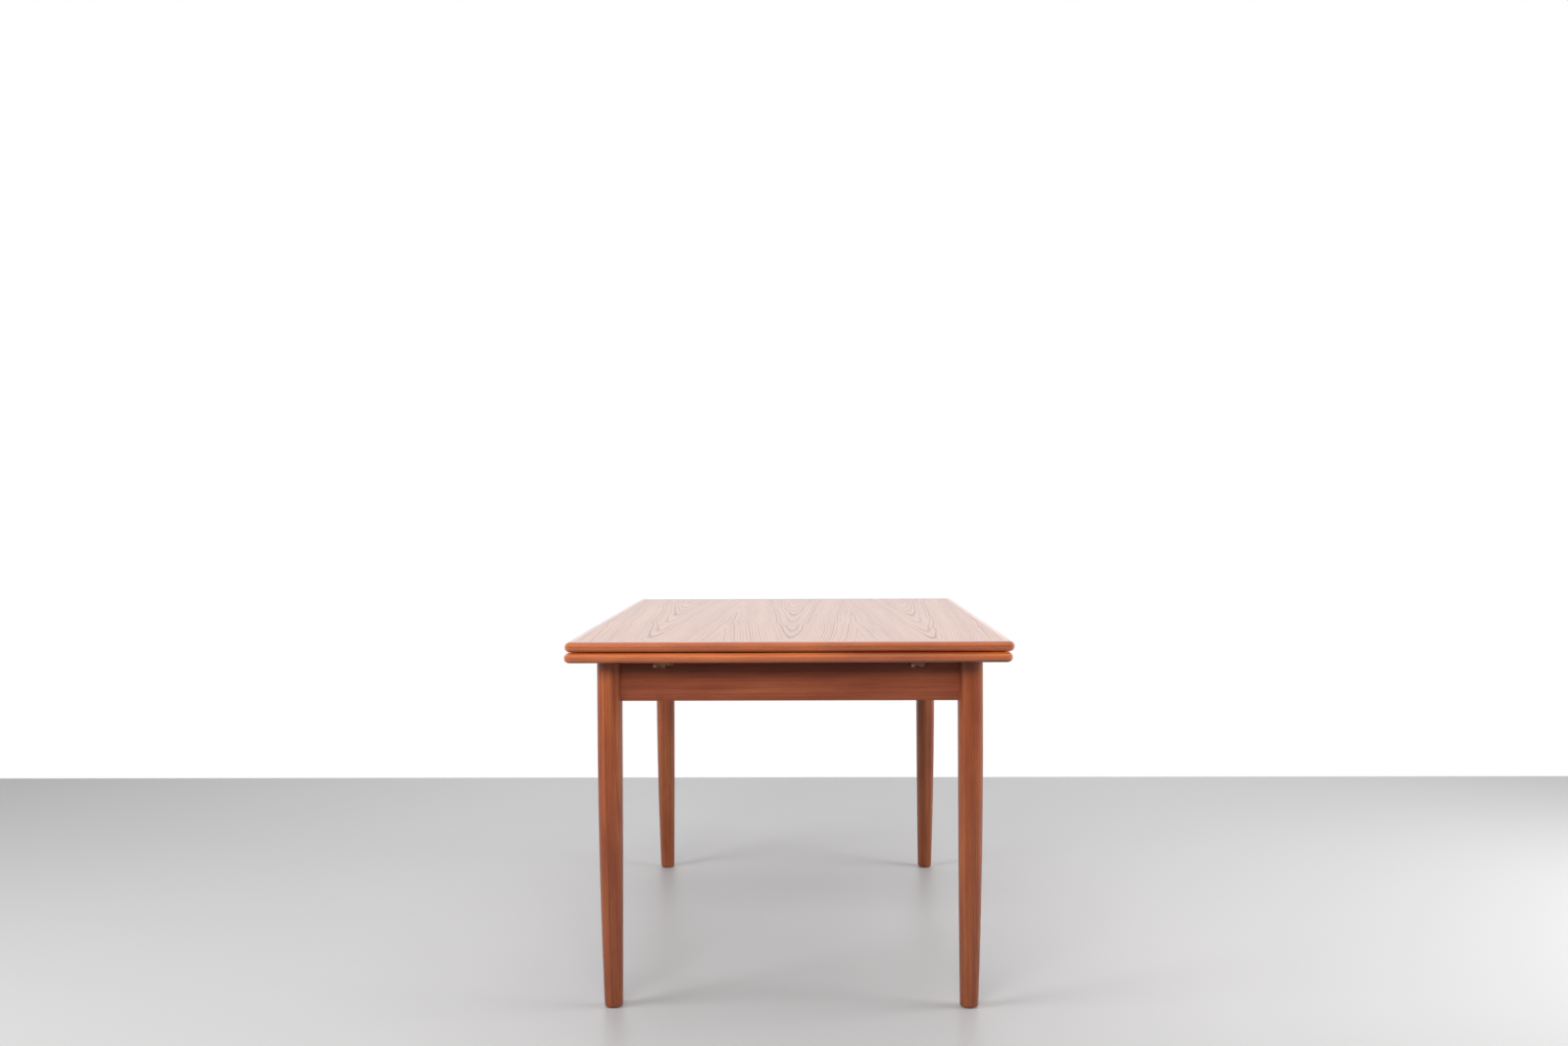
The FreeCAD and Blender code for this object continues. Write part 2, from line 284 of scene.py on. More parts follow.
# %% [markdown]
# # The lamps
# Large soft boxes give the broad light of the photograph. The strongest hangs in front and shines on the
# table from 20 to 40 degrees above the level, so that the edge of the top shades the upper half of the apron
# softly. The ones at the sides turn the legs round, one behind lights the far end, and one overhead fills
# the top. Small lamps would print hard shadows on the floor. The boxes are kept out of reflections: a bright
# rectangle mirrored in the top hides its grain, and from the side its outline too, so every sheen comes from
# the world.

# %% Helper for a soft box
def soft_box(name, place, aim, width, height, power):
    lamp = bpy.data.lights.new(name, "AREA")
    lamp.shape = "RECTANGLE"
    lamp.size = width
    lamp.size_y = height
    lamp.energy = power
    holder = bpy.data.objects.new(name, lamp)
    bpy.context.scene.collection.objects.link(holder)
    holder.location = place
    holder.visible_glossy = False
    holder.rotation_euler = (Vector(aim) - Vector(place)).to_track_quat("-Z", "Y").to_euler()
    print(name, "gives", power, "W")


# %% Lamps
soft_box("front_box", place=(-0.5, -3.9, 2.7), aim=(0, -0.5, 2.0), width=2.6, height=1.5, power=90)
soft_box("left_box", place=(-3.0, -1.6, 1.8), aim=(-0.2, 0, 1.0), width=1.6, height=1.5, power=62)
soft_box("right_box", place=(3.2, -0.6, 1.4), aim=(0.7, 0, 0.5), width=1.8, height=1.6, power=58)
soft_box("back_box", place=(-0.6, 3.3, 2.4), aim=(0, 0.4, 0.6), width=2.4, height=1.4, power=20)
soft_box("overhead_box", place=(0.3, 0.2, 3.4), aim=(0.3, 0, 0.7), width=3.0, height=3.0, power=34)

# %% [markdown]
# # Teak, solid
# Solid wood is a stack of growth rings, so its pattern has to run through the piece: lines along a board,
# flames where the surface grazes a ring, arcs on the end. A flat image can't do that round an edge. The
# recipe therefore works in space: the distance from the middle of a trunk that runs along the grain, bent a
# little by noise, counts the rings. Each ring has one darker line, strong or faint by chance, since no two
# years of growth are alike. Long noise in three widths gives the streaks, the fibres that break up the
# lines, and the open pores, which lie a little deeper than the wood around them and shine less. The edges of
# the boards get a coat of lacquer, as the veneer does.

# %% Space that follows the grain
noise_roughness = 0.6
bend_repeats = (7.0, 1.6)


def grain_space(tree, turn, shift):
    # Turned so that Y runs along the grain, and shifted so that the middle of the trunk is at zero
    angles = tuple(math.radians(angle) for angle in turn)
    return step(tree, "Mapping", table_point(tree), shift, angles)


def squeezed(tree, space, repeats):
    across, along = repeats
    return step(tree, "Mapping", space, None, None, (across, along, across))


def long_noise(tree, space, repeats, detail):
    return step(tree, "TexNoise", squeezed(tree, space, repeats), None, 1.0, detail, noise_roughness)


def bent(tree, space, amount, repeats=bend_repeats):
    noise = step(tree, "TexNoise", squeezed(tree, space, repeats), None, 1.0, 2.0).node
    centred = step(tree, "VectorMath", noise.outputs["Color"], (0.5, 0.5, 0.5), operation="SUBTRACT")
    small = step(tree, "VectorMath", centred, (amount, 0, amount), operation="MULTIPLY")
    return step(tree, "VectorMath", space, small, operation="ADD")


print("grain space ready")

# %% Growth rings
ring_pace = 0.31
ring_unevenness = 4.5
line_shape = [(0.0, 0.35), (0.09, 0.0), (0.5, 0.12), (0.92, 1.0), (1.0, 0.35)]


def wandering(tree, value, pace, detail=2.0):
    # Noise along a single count, which crowds or spreads what it is added to
    paced = sums(tree, "MULTIPLY", value, pace)
    return step(tree, "TexNoise", None, paced, 1.0, detail, noise_dimensions="1D")


def ring_count(tree, space, ring_width):
    flat = step(tree, "VectorMath", space, (1, 0, 1), operation="MULTIPLY")
    distance = step(tree, "VectorMath", flat, operation="LENGTH").node.outputs["Value"]
    count = sums(tree, "DIVIDE", distance, ring_width)
    return sums(tree, "MULTIPLY_ADD", wandering(tree, count, ring_pace), ring_unevenness, count)


def ring_lines(tree, rings, faintest):
    # A line darkens slowly through its ring and ends sharply, as strong or faint as chance makes it
    chance = step(tree, "TexWhiteNoise", None, sums(tree, "FLOOR", rings), noise_dimensions="1D")
    strength = step(tree, "MapRange", chance, 0.0, 1.0, faintest, 1.0)
    line = toned(tree, sums(tree, "FRACT", rings), line_shape)
    return sums(tree, "MULTIPLY", line, strength)


print("growth rings ready")

# %% Mottle, fibres and pores
# Repeats of each noise per metre, across and along the grain
streak_repeats = (75.0, 1.3)
mottle_repeats = ((7.0, 1.5), (34.0, 5.5))
fibre_repeats = (520.0, 14.0)
pore_repeats = (1100.0, 42.0)

# How much red, green and blue the mottle takes away or adds at most
mottle_loss = (0.24, 0.33, 0.36)
mottle_gain = (0.10, 0.14, 0.12)

# Places on a ramp where each noise turns into its mark, and how strong the mark is there
streak_stops = [(0.36, 0.0), (0.66, 1.0)]
fibre_stops = [(0.3, 0.6), (0.55, 1.0)]
pore_stops = [(0.56, 0.0), (0.66, 1.0)]
mottle_from, mottle_to = 0.3, 0.68

pore_strength = 0.6
pores_off_lines = 0.3
full_line = 0.8
pore_tone = 0.45
pore_roughness = 0.16
pore_dent = 0.25
pore_depth = 0.0002


def mottled(tree, space, colour, mottle):
    deeper = tuple(1 - share * mottle for share in mottle_loss)
    paler = tuple(1 + share * mottle for share in mottle_gain)
    for repeats in mottle_repeats:
        patches = long_noise(tree, space, repeats, 3.0)
        colour = shaded(tree, colour, toned(tree, patches, [(mottle_from, deeper), (mottle_to, paler)]))
    return colour


def finish_wood(tree, shader, space, line, tones, mottle, gloss):
    light, middle, dark = tones
    streaks = toned(tree, long_noise(tree, space, streak_repeats, 4.0), streak_stops)
    colour = mottled(tree, space, mixed(tree, streaks, light, middle), mottle)
    fibres = toned(tree, long_noise(tree, space, fibre_repeats, 2.0), fibre_stops)
    line = sums(tree, "MULTIPLY", line, fibres)
    colour = mixed(tree, line, colour, dark)
    pores = toned(tree, long_noise(tree, space, pore_repeats, 2.0), pore_stops)
    on_lines = step(tree, "MapRange", line, 0.0, full_line, pores_off_lines, 1.0)
    pores = sums(tree, "MULTIPLY", pores, on_lines)
    pore_colour = tuple(pore_tone * level for level in dark)
    colour = mixed(tree, sums(tree, "MULTIPLY", pores, pore_strength), colour, pore_colour)
    roughness = sums(tree, "MULTIPLY_ADD", sums(tree, "MAXIMUM", pores, line), pore_roughness, gloss)
    dented(tree, shader, pores, pore_dent, pore_depth, inwards=True)
    return colour, roughness


print("mottle, fibres and pores ready")

# %% Recipe for solid wood
faintest_ring = 0.1
lacquer_roughness = 0.15
# Heights between which the painted shade on the legs fades out
painted_shade_stretch = (0.11, 0.55)


def solid_wood(name, tones, turn, shift, ring_width=0.0032, bend=0.01, mottle=1.0, line_strength=0.5,
               gloss=0.3, shine=0.4, lacquer=0.0, painted_foot_shade=None):
    material, tree, shader = start_material(name)
    space = grain_space(tree, turn, shift)
    rings = ring_count(tree, bent(tree, space, bend), ring_width)
    line = sums(tree, "MULTIPLY", ring_lines(tree, rings, faintest_ring), line_strength)
    colour, roughness = finish_wood(tree, shader, space, line, tones, mottle, gloss)
    if painted_foot_shade:
        # Painted shade: the legs grow slowly darker towards the foot, where less of the lamps' light falls
        height = split(tree, table_point(tree))["Z"]
        shade = step(tree, "MapRange", height, *painted_shade_stretch, painted_foot_shade, 1.0)
        colour = shaded(tree, colour, shade)
    cover(tree, shader, colour, roughness)
    shader.inputs["Specular IOR Level"].default_value = shine
    shader.inputs["Coat Weight"].default_value = lacquer
    shader.inputs["Coat Roughness"].default_value = lacquer_roughness
    print(name, "has rings", round(ring_width * 1000, 1), "mm wide")
    return material


# %% [markdown]
# # Teak, veneer
# The top is not solid: three sheets of veneer lie side by side, sliced one after another from the same log,
# so each shows almost the same flame of tall arches, pointing at the near end. Rings could be cut through in
# space, as for the solid wood, but a thin slice is simpler drawn flat: the ring count rises along the sheet
# and falls with the distance from its middle line, gently at first, which rounds the tips of the arches, and
# then evenly, so that the lines run nearly straight. Slow noise bunches the arches, finer lines fill the
# space between them, and a floor function tells which sheet a point belongs to. Underneath, the board shows
# its backing sheet, darker and rougher, under the same thin coat.

# %% Flames
arch_spacing = 0.13
line_spacing = 0.0062
arch_round = 0.021
arch_sway = 0.02
sway_repeats = (3.0, 2.2)
bunch_pace, bunching = 3.1, 2.4
spread_pace, spreading = 0.35, 1.1
faintest_arch = 0.3
finer_repeats, finer_strength = 3.0, 0.35


def flame_lines(tree, from_middle, along, height):
    flat = step(tree, "CombineXYZ", from_middle, along, height)
    swayed = split(tree, bent(tree, flat, arch_sway, sway_repeats))
    squared = sums(tree, "MULTIPLY_ADD", swayed["X"], swayed["X"], arch_round * arch_round)
    reach = sums(tree, "SUBTRACT", sums(tree, "SQRT", squared), arch_round)
    rising = sums(tree, "DIVIDE", swayed["Y"], arch_spacing)
    rising = sums(tree, "MULTIPLY_ADD", wandering(tree, along, bunch_pace, 1.0), bunching, rising)
    count = sums(tree, "SUBTRACT", rising, sums(tree, "DIVIDE", reach, line_spacing))
    rings = sums(tree, "MULTIPLY_ADD", wandering(tree, count, spread_pace), spreading, count)
    finer = ring_lines(tree, sums(tree, "MULTIPLY", rings, finer_repeats), 0.0)
    finer = sums(tree, "MULTIPLY", finer, finer_strength)
    return sums(tree, "MAXIMUM", ring_lines(tree, rings, faintest_arch), finer)


print("arches", arch_spacing, "m apart, lines", line_spacing, "m apart")

# %% Recipe for veneer
sheet_width = 0.28
sheet_offset = 0.019
veneer_tones = (srgb(208, 133, 88), srgb(191, 113, 72), srgb(104, 50, 28))
veneer_mottle = 0.45
veneer_gloss = 0.2
veneer_shine = 1.0
veneer_lacquer = 0.3
veneer_lacquer_roughness = 0.22
backing_tone = (0.62, 0.62, 0.6)
backing_roughness = 0.7
backing_thickness = 0.001


def veneer(name, board, first_middle, shift_along):
    material, tree, shader = start_material(name)
    place = split(tree, table_point(tree))
    across = sums(tree, "SUBTRACT", place["X"], first_middle - sheet_width / 2)
    sheet = sums(tree, "FLOOR", sums(tree, "DIVIDE", across, sheet_width))
    middle = sums(tree, "MULTIPLY_ADD", sheet, sheet_width, sheet_width / 2)
    along = sums(tree, "ADD", place["Y"], shift_along)
    along = sums(tree, "MULTIPLY_ADD", sheet, sheet_offset, along)
    line = flame_lines(tree, sums(tree, "SUBTRACT", across, middle), along, place["Z"])
    fibre_space = step(tree, "CombineXYZ", place["X"], along, place["Z"])
    colour, roughness = finish_wood(tree, shader, fibre_space, line, veneer_tones, veneer_mottle,
                                    veneer_gloss)
    beneath = sums(tree, "LESS_THAN", place["Z"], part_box(board)[0].z + backing_thickness)
    dull = sums(tree, "MULTIPLY", beneath, backing_roughness)
    colour = shaded(tree, colour, backing_tone, beneath)
    cover(tree, shader, colour, sums(tree, "MAXIMUM", roughness, dull))
    shader.inputs["Specular IOR Level"].default_value = veneer_shine
    shader.inputs["Coat Weight"].default_value = veneer_lacquer
    shader.inputs["Coat Roughness"].default_value = veneer_lacquer_roughness
    print(name, "has sheets", sheet_width, "m wide")
    return material


# %% Veneers of the four boards
top_veneer = veneer("teak_veneer_top", "top_panel", -0.279, 0.62)
near_veneer = veneer("teak_veneer_near_leaf", "near_leaf_panel", -0.27, 1.3)
far_veneer = veneer("teak_veneer_far_leaf", "far_leaf_panel", -0.29, 2.9)
board_veneer = veneer("teak_veneer_board", "centre_board", -0.275, 4.1)

# %% Solid teak of the edges, the legs and the aprons
edge_tones = (srgb(231, 126, 56), srgb(208, 103, 41), srgb(110, 46, 20))
leg_tones = (srgb(207, 117, 66), srgb(181, 92, 51), srgb(110, 50, 29))
apron_tones = (srgb(175, 94, 63), srgb(155, 77, 50), srgb(105, 49, 33))
edge_look = {"ring_width": 0.0022, "bend": 0.006, "line_strength": 0.8, "gloss": 0.2, "shine": 1.0}
# The legs carry a painted shade that darkens them towards the foot
leg_look = {"bend": 0.012, "mottle": 1.1, "line_strength": 0.7, "shine": 0.65, "painted_foot_shade": 0.74}
apron_look = {"ring_width": 0.0028, "bend": 0.008, "mottle": 0.9, "line_strength": 0.6}

# Turns that bring each piece's own length onto Y, and shifts that put the middle of the trunk far off,
# which gives straight grain
lengthwise = (0.4, 0, 0.3)
crosswise = (0, 0.5, 90.3)
upright = (-89.4, 0.4, 0)

edge_long = solid_wood("teak_edge_long", edge_tones, lengthwise, (0.9, 0, -1.9), lacquer=0.8, **edge_look)
edge_cross = solid_wood("teak_edge_cross", edge_tones, crosswise, (0.1, 0, -2.2), lacquer=0.5, **edge_look)
leg_wood = solid_wood("teak_leg", leg_tones, upright, (1.3, 0, 0.1), **leg_look)
apron_cross = solid_wood("teak_apron_cross", apron_tones, crosswise, (0.16, 0, -2.4), **apron_look)
apron_long = solid_wood("teak_apron_long", apron_tones, lengthwise, (0.1, 0, -2.4), **apron_look)

# %% Plain wood of the runners and the blocks
runner_tones = (srgb(220, 160, 118), srgb(206, 146, 104), srgb(164, 106, 74))
runner_gloss = 0.55

runner_long = solid_wood("runner_wood_long", runner_tones, lengthwise, (0.3, 0, -1.2), gloss=runner_gloss)
runner_cross = solid_wood("runner_wood_cross", runner_tones, crosswise, (0.05, 0, -1.5), gloss=runner_gloss)
runner_upright = solid_wood("runner_wood_upright", runner_tones, upright, (0.9, 0, 0.05), gloss=runner_gloss)

# %% [markdown]
# # Metal, nylon and felt
# The bolts are zinc plated, the glides and the pins of the bearers are pale nylon, and the strips that the
# main top rests on are dark green felt. None is a flat colour on the real table: zinc is cloudy, nylon gets
# scuffed, and felt is a mat of short fibres. A photograph could be laid over each, but a cloud of noise at
# the right size does the same and needs no image.

# %% Steel
zinc_tones = (srgb(196, 194, 188), srgb(150, 150, 150))
cloud_repeats = 140.0
zinc_smoothest, zinc_spread = 0.25, 0.25


def cloudy_steel():
    material, tree, shader = start_material("zinc_steel")
    clouds = step(tree, "TexNoise", table_point(tree), None, cloud_repeats, 3.0)
    colour = mixed(tree, clouds, *zinc_tones)
    cover(tree, shader, colour, sums(tree, "MULTIPLY_ADD", clouds, zinc_spread, zinc_smoothest))
    shader.inputs["Metallic"].default_value = 1.0
    return material


steel = cloudy_steel()
print(steel.name, "ready")


# %% Nylon
nylon_tones = (srgb(250, 244, 238), srgb(234, 226, 218))
scuff_repeats = 420.0
nylon_smoothest, nylon_spread = 0.35, 0.3


def scuffed_nylon():
    material, tree, shader = start_material("nylon")
    scuffs = step(tree, "TexNoise", table_point(tree), None, scuff_repeats, 4.0)
    colour = mixed(tree, scuffs, *nylon_tones)
    cover(tree, shader, colour, sums(tree, "MULTIPLY_ADD", scuffs, nylon_spread, nylon_smoothest))
    return material


nylon = scuffed_nylon()
print(nylon.name, "ready")


# %% Felt
felt_tones = (srgb(38, 62, 48), srgb(74, 98, 80))
felt_repeats = 1600.0
tuft_repeats = 260.0
tuft_stops = [(0.3, 0.5), (0.7, 1.0)]
felt_roughness = 0.95
felt_sheen = 0.3
felt_dent = 0.5
felt_depth = 0.0004


def green_felt():
    material, tree, shader = start_material("green_felt")
    place = table_point(tree)
    fibres = step(tree, "TexNoise", place, None, felt_repeats, 4.0, 0.7)
    tufts = toned(tree, step(tree, "TexNoise", place, None, tuft_repeats, 2.0), tuft_stops)
    colour = shaded(tree, mixed(tree, fibres, *felt_tones), tufts, 0.5)
    cover(tree, shader, colour, felt_roughness)
    shader.inputs["Sheen Weight"].default_value = felt_sheen
    dented(tree, shader, fibres, felt_dent, felt_depth)
    return material


felt = green_felt()
print(felt.name, "ready")

# %% [markdown]
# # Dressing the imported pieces
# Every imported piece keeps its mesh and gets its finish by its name. The grain follows the length of each
# piece, as a joiner would lay it: along X for what crosses the table, along Y for what runs lengthwise,
# along Z for the legs. Each could be dressed by hand, but a few rules on the names cover them all.

# %% Which finish belongs to which piece
own_finish = {
    "top_panel": top_veneer,
    "near_leaf_panel": near_veneer,
    "far_leaf_panel": far_veneer,
    "centre_board": board_veneer,
    "leg_bolts": steel,
    "foot_glides": nylon,
    "felt_strips": felt,
    "corner_blocks": runner_upright,
    "top_pegs": runner_upright,
    "centre_rail": runner_cross,
    "peg_keepers": runner_cross,
}
crosswise_edges = ("near", "far", "outer", "inner")


def finish_for(name):
    if name in own_finish:
        return own_finish[name]
    if name.startswith("leg_"):
        return leg_wood
    if name.startswith("end_apron"):
        return apron_cross
    if name.startswith("side_apron"):
        return apron_long
    if name.endswith("end_pins"):
        return nylon
    if "lipping" in name:
        return edge_cross if name.endswith(crosswise_edges) else edge_long
    return runner_long


# %% Put the finishes on
def put_on(piece, material):
    for index in range(len(piece.data.materials)):
        piece.data.materials[index] = material
    if not piece.data.materials:
        piece.data.materials.append(material)


for name, piece in nodes.items():
    put_on(piece, finish_for(name))
print(len(nodes), "pieces dressed")

# %% [markdown]
# # Eased edges
# A joiner takes the sharp corners off every apron, rail and block with a few strokes of sandpaper, and those
# small rounds catch the light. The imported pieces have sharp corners. Painting a highlight on them wouldn't
# change their outline, so each one is copied, its loose triangles are joined and its flat faces made whole
# again, and then a bevel of less than a millimetre runs along the sharp edges.

# %% Helper for new pieces
def new_piece(name, mesh, body, material, stands_for=None, sharp_from=35):
    bmesh.ops.recalc_face_normals(mesh, faces=mesh.faces)
    data = bpy.data.meshes.new(name)
    mesh.to_mesh(data)
    mesh.free()
    data.shade_smooth()
    data.set_sharp_from_angle(angle=math.radians(sharp_from))
    data.materials.append(material)
    piece = bpy.data.objects.new(name, data)
    bpy.context.scene.collection.objects.link(piece)
    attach(piece, body)
    if stands_for:
        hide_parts(stands_for)
    print(name, "has", len(data.polygons), "faces")


# %% Helper that eases the edges of a straight piece
join_distance = 0.00001
flat_within = math.radians(0.5)
sharp_beyond = math.radians(60)


def eased(node_name, body, width):
    mesh = bmesh.new()
    mesh.from_mesh(nodes[node_name].data)
    bmesh.ops.remove_doubles(mesh, verts=mesh.verts, dist=join_distance)
    bmesh.ops.dissolve_limit(mesh, angle_limit=flat_within, verts=mesh.verts, edges=mesh.edges)
    sharp = [edge for edge in mesh.edges if edge.is_manifold and edge.calc_face_angle() > sharp_beyond]
    bmesh.ops.bevel(mesh, geom=sharp, offset=width, offset_type="OFFSET", affect="EDGES", segments=2,
                    profile=0.5, material=-1)
    new_piece(node_name + "_eased", mesh, body, finish_for(node_name), node_name)


# %% Ease the edges of the straight pieces
apron_round = 0.0009
block_round = 0.0007
for end in ("near", "far"):
    eased("end_apron_" + end, "frame", apron_round)
for side in ("left", "right"):
    eased("side_apron_" + side, "frame", apron_round)
for block in ("centre_rail", "centre_board_blocks", "corner_blocks"):
    eased(block, "frame", block_round)
eased("peg_keepers", "main_top", block_round)
for leaf in ("near_leaf", "far_leaf"):
    for ending in ("_bearer_first", "_bearer_second", "_stop_blocks"):
        eased(leaf + ending, leaf, block_round)

# %% [markdown]
# # Screws
# The blocks, the bearers and the keepers are held by plain slotted screws with flat heads. The thread is out
# of sight, so only the head is made: a short cone, cut by two parallel planes so that the strip between them
# can be pushed down as the slot. One head is made and then set down at every place, turned a little
# differently each time, because nobody lines the slots up.

# %% One slotted head
head_diameter = 0.0076
head_depth = head_diameter / 3
head_proud = 0.00012
slot_width = 0.0012
slot_depth = 0.0009


def slotted_head():
    mesh = bmesh.new()
    bmesh.ops.create_cone(mesh, cap_ends=True, segments=24, radius1=head_diameter / 5,
                          radius2=head_diameter / 2, depth=head_depth)
    bmesh.ops.translate(mesh, verts=mesh.verts, vec=(0, 0, head_proud - head_depth / 2))
    for side in (-1, 1):
        bmesh.ops.bisect_plane(mesh, geom=mesh.verts[:] + mesh.edges[:] + mesh.faces[:],
                               plane_co=(0, side * slot_width / 2, 0), plane_no=(0, 1, 0))
    strip = [face for face in mesh.faces
             if face.normal.z > 0.9 and abs(face.calc_center_median().y) < slot_width / 2]
    pushed = bmesh.ops.extrude_face_region(mesh, geom=strip)["geom"]
    bmesh.ops.translate(mesh, verts=[part for part in pushed if isinstance(part, bmesh.types.BMVert)],
                        vec=(0, 0, -slot_depth))
    bmesh.ops.delete(mesh, geom=[face for face in strip if face.is_valid], context="FACES_ONLY")
    return mesh


print("screw heads are", head_diameter * 1000, "mm wide")


# %% Helpers that set a shape down at many places
def set_down(shape, places):
    pattern = bpy.data.meshes.new("pattern")
    shape.to_mesh(pattern)
    shape.free()
    whole = bmesh.new()
    for place in places:
        copy = pattern.copy()
        copy.transform(place)
        whole.from_mesh(copy)
        bpy.data.meshes.remove(copy)
    bpy.data.meshes.remove(pattern)
    return whole


def facing(place, towards, turn=0.0):
    # The shape's own Z axis is laid towards the given direction, after a turn about itself
    lean = Vector(towards).to_track_quat("Z", "Y").to_matrix().to_4x4()
    return Matrix.Translation(place) @ lean @ Matrix.Rotation(turn, 4, "Z")


screw_turn = 2.4


def screws_below(name, body, places):
    spots = [facing(place, (0, 0, -1), screw_turn * index) for index, place in enumerate(places)]
    new_piece(name, set_down(slotted_head(), spots), body, steel)


# %% Screws under the leaves
bearer_screw_shares = (0.07, 0.35, 0.66, 0.93)
stop_screw_shares = (0.25, 0.75)


def along_box(low, high, share):
    return low.y + share * (high.y - low.y)


for leaf in ("near_leaf", "far_leaf"):
    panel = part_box(leaf + "_panel")
    stop_low, stop_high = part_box(leaf + "_stop_blocks")
    places = []
    stop_places = []
    for ending in ("_bearer_first", "_bearer_second"):
        low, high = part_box(leaf + ending)
        middle = (low.x + high.x) / 2
        places += [(middle, along_box(*panel, share), low.z) for share in bearer_screw_shares]
        stop_places += [(middle, along_box(stop_low, stop_high, share), stop_low.z)
                        for share in stop_screw_shares]
    screws_below(leaf + "_bearer_screws", leaf, places)
    screws_below(leaf + "_stop_screws", leaf, stop_places)

# %% Screws of the keepers
keeper_low, keeper_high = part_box("peg_keepers")
keeper_middle = keeper_high.y - (keeper_high.x - keeper_low.x) / 2
keeper_screw_reach = 0.0055
screws_below("keeper_screws", "main_top",
             [(0, side * keeper_middle + reach, keeper_low.z)
              for side in (-1, 1) for reach in (-keeper_screw_reach, keeper_screw_reach)])

# %% Screws of the blocks under the centre board
block_low, block_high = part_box("centre_board_blocks")
block_middle_share = 0.795
block_middle = block_high.y * block_middle_share
block_screw_inset = 0.01
block_screw_reach = 0.014
screws_below("board_block_screws", "frame",
             [(side * (block_high.x - block_screw_inset), end * block_middle + reach, block_low.z)
              for side in (-1, 1) for end in (-1, 1) for reach in (-block_screw_reach, block_screw_reach)])

# %% [markdown]
# # Corner bolts
# A bolt pulls each leg into its corner through the slanted block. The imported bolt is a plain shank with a
# six-sided head. The one here has what such a bolt has: a round washer on the wood, and a head whose corners
# are chamfered, made by insetting its outer face and drawing its rim back. It is built upright and then laid
# along the diagonal of each corner.

# %% Sizes of a bolt
bolt_low, bolt_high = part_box("leg_bolts")
bolt_level = (bolt_low.z + bolt_high.z) / 2
shank_radius = 0.004
shank_start, shank_end = 0.005, 0.049
washer_radius = 0.0105
washer_thickness = 0.0016
head_height = 0.0055
head_across_flats = 0.013
head_reach = head_across_flats / math.sqrt(3)
head_inset = 0.0012
head_chamfer = 0.0008
head_edge_round = 0.0003
print("bolts lie", round(bolt_level, 4), "m above the floor")


# %% One bolt with its washer
def rod(mesh, radius, start, end, segments):
    made = bmesh.ops.create_cone(mesh, cap_ends=True, segments=segments, radius1=radius, radius2=radius,
                                 depth=end - start)
    bmesh.ops.translate(mesh, verts=made["verts"], vec=(0, 0, (start + end) / 2))


def washer_and_bolt():
    mesh = bmesh.new()
    washer_end = shank_end + washer_thickness
    rod(mesh, shank_radius, shank_start, shank_end, 24)
    rod(mesh, washer_radius, shank_end, washer_end, 40)
    rod(mesh, head_reach, washer_end, shank_end + head_height, 6)
    outer = max(mesh.faces, key=lambda face: face.calc_center_median().z)
    inset = bmesh.ops.inset_region(mesh, faces=[outer], thickness=head_inset, depth=0)
    rim = {vert for face in inset["faces"] for vert in face.verts} - set(outer.verts)
    bmesh.ops.translate(mesh, verts=list(rim), vec=(0, 0, -head_chamfer))
    bmesh.ops.bevel(mesh, geom=outer.edges[:], offset=head_edge_round, affect="EDGES", segments=2,
                    profile=0.5, material=-1)
    return mesh


# %% Bolts in the four corners
leg_radius = 0.025
leg_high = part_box("leg_near_left")[1]
leg_x, leg_y = abs(leg_high.x - leg_radius), abs(leg_high.y - leg_radius)
corners = [(side_x, side_y) for side_x in (-1, 1) for side_y in (-1, 1)]


def leg_middle(side_x, side_y):
    return Vector((side_x * leg_x, side_y * leg_y, bolt_level))


spots = [facing(leg_middle(side_x, side_y), (-side_x, -side_y, 0), 0.5 * side_x + 0.2 * side_y)
         for side_x, side_y in corners]
bolts = set_down(washer_and_bolt(), spots)
new_piece("leg_bolts_with_washers", bolts, "frame", steel, "leg_bolts", sharp_from=25)

# %% Screws of the corner blocks
corner_screw_reach = 0.023
corner_screw_rise = 0.012
corner_screw_turn = 1.7

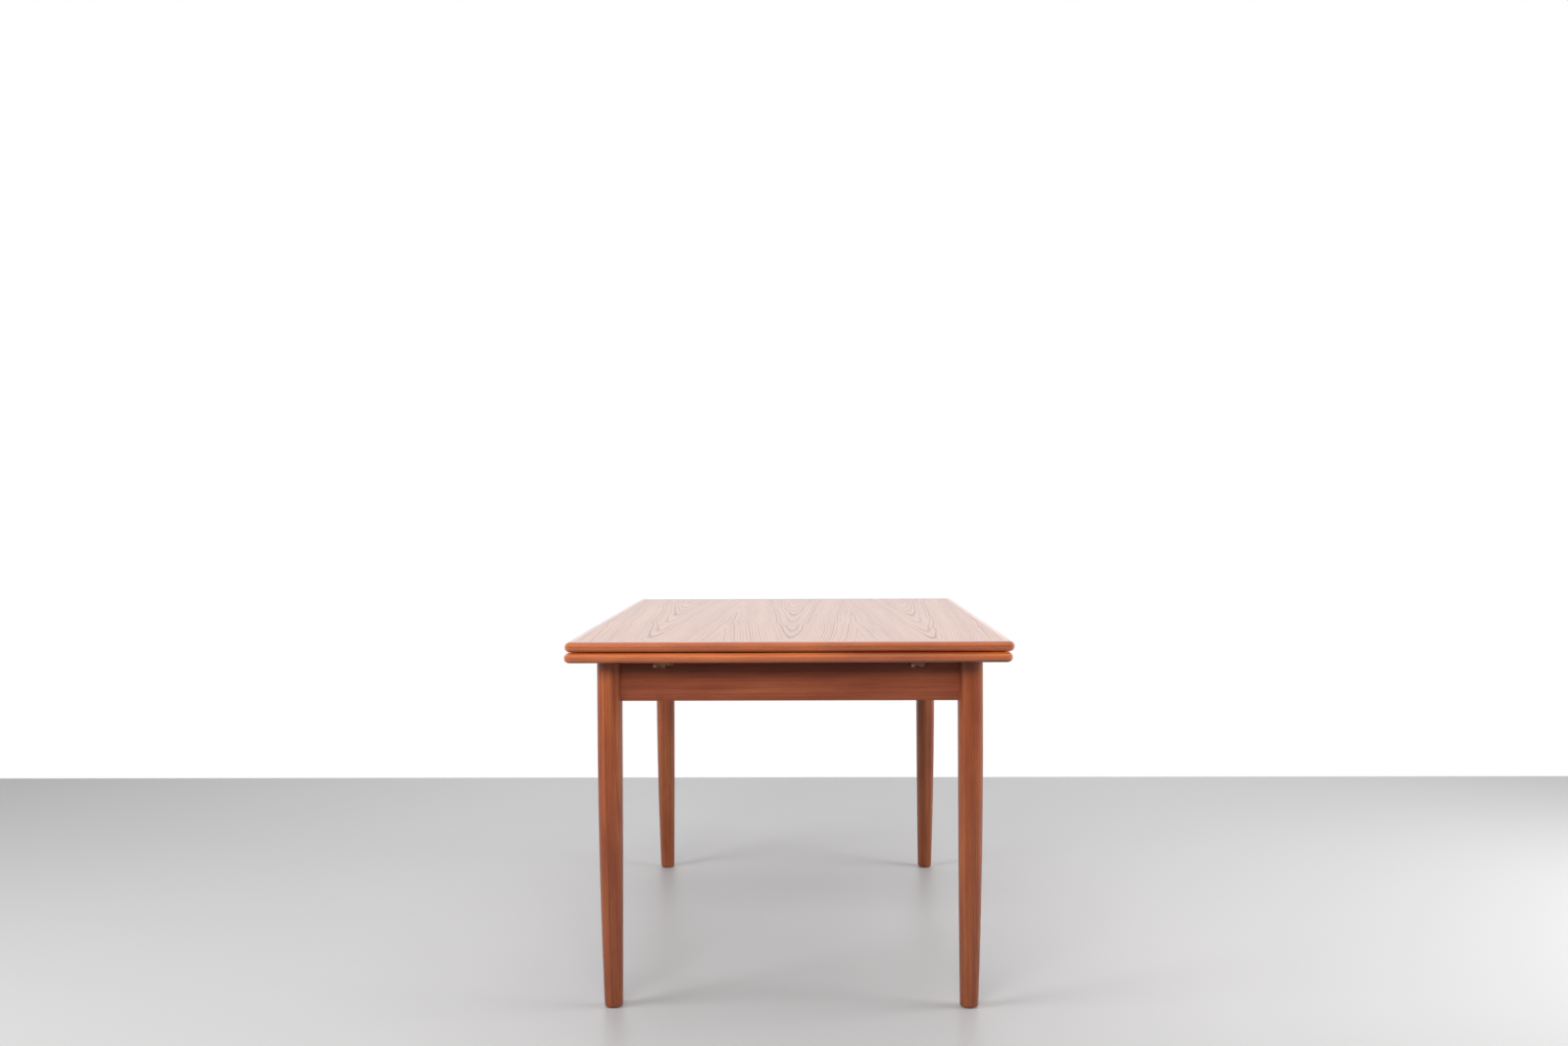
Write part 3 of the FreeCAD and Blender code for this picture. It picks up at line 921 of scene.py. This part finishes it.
spots = []
for side_x, side_y in corners:
    axis = Vector((-side_x, -side_y, 0)).normalized()
    across = Vector((side_y, -side_x, 0)).normalized()
    middle = leg_middle(side_x, side_y) + axis * shank_end
    for reach in (-corner_screw_reach, corner_screw_reach):
        for rise in (-corner_screw_rise, corner_screw_rise):
            place = middle + across * reach + Vector((0, 0, rise))
            spots.append(facing(place, axis, corner_screw_turn * len(spots)))
new_piece("corner_block_screws", set_down(slotted_head(), spots), "frame", steel)

# %% [markdown]
# # Glides
# Each foot stands on a nylon glide, a disc with a soft rim and a hollow for the nail that holds it. Half of
# its outline is enough: spun once round the upright axis, it gives the whole disc. A spin can leave faces
# pointing inwards, so the helper for new pieces sets them right.

# %% Helper for turned shapes
def turned(profile, steps):
    mesh = bmesh.new()
    line = [mesh.verts.new((radius, 0, height)) for radius, height in profile]
    joins = [mesh.edges.new(pair) for pair in zip(line, line[1:])]
    bmesh.ops.spin(mesh, geom=line + joins, cent=(0, 0, 0), axis=(0, 0, 1), angle=2 * math.pi, steps=steps,
                   use_merge=True)
    bmesh.ops.remove_doubles(mesh, verts=mesh.verts, dist=0.000001)
    return mesh


# %% Glides and their nails
glide_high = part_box("foot_glides")[1]
glide_radius = 0.011
hollow_depth = 0.0012

# Radius and height of each point, from the middle of the hollow out over the rim and back against the foot
glide_profile = [(0, hollow_depth), (0.0034, hollow_depth), (0.0036, 0.0004), (0.0044, 0), (0.0094, 0),
                 (0.0105, 0.0004), (glide_radius, 0.0010), (glide_radius, glide_high.z), (0, glide_high.z)]
nail_profile = [(0, 0.0005), (0.0012, 0.0006), (0.0023, 0.0009), (0.0026, hollow_depth)]
glide_x, glide_y = glide_high.x - glide_radius, glide_high.y - glide_radius
spots = [Matrix.Translation((side_x * glide_x, side_y * glide_y, 0)) for side_x, side_y in corners]
glides = set_down(turned(glide_profile, 40), spots)
new_piece("foot_glides_turned", glides, "frame", nylon, "foot_glides")
new_piece("glide_nails", set_down(turned(nail_profile, 20), spots), "frame", steel)

# %% [markdown]
# # The colour at the end
# The scene shows its colours as they are, with the Standard view transform. What was added must stay inside
# the imported model's box.

# %% Colour management
bpy.context.scene.view_settings.view_transform = "Standard"
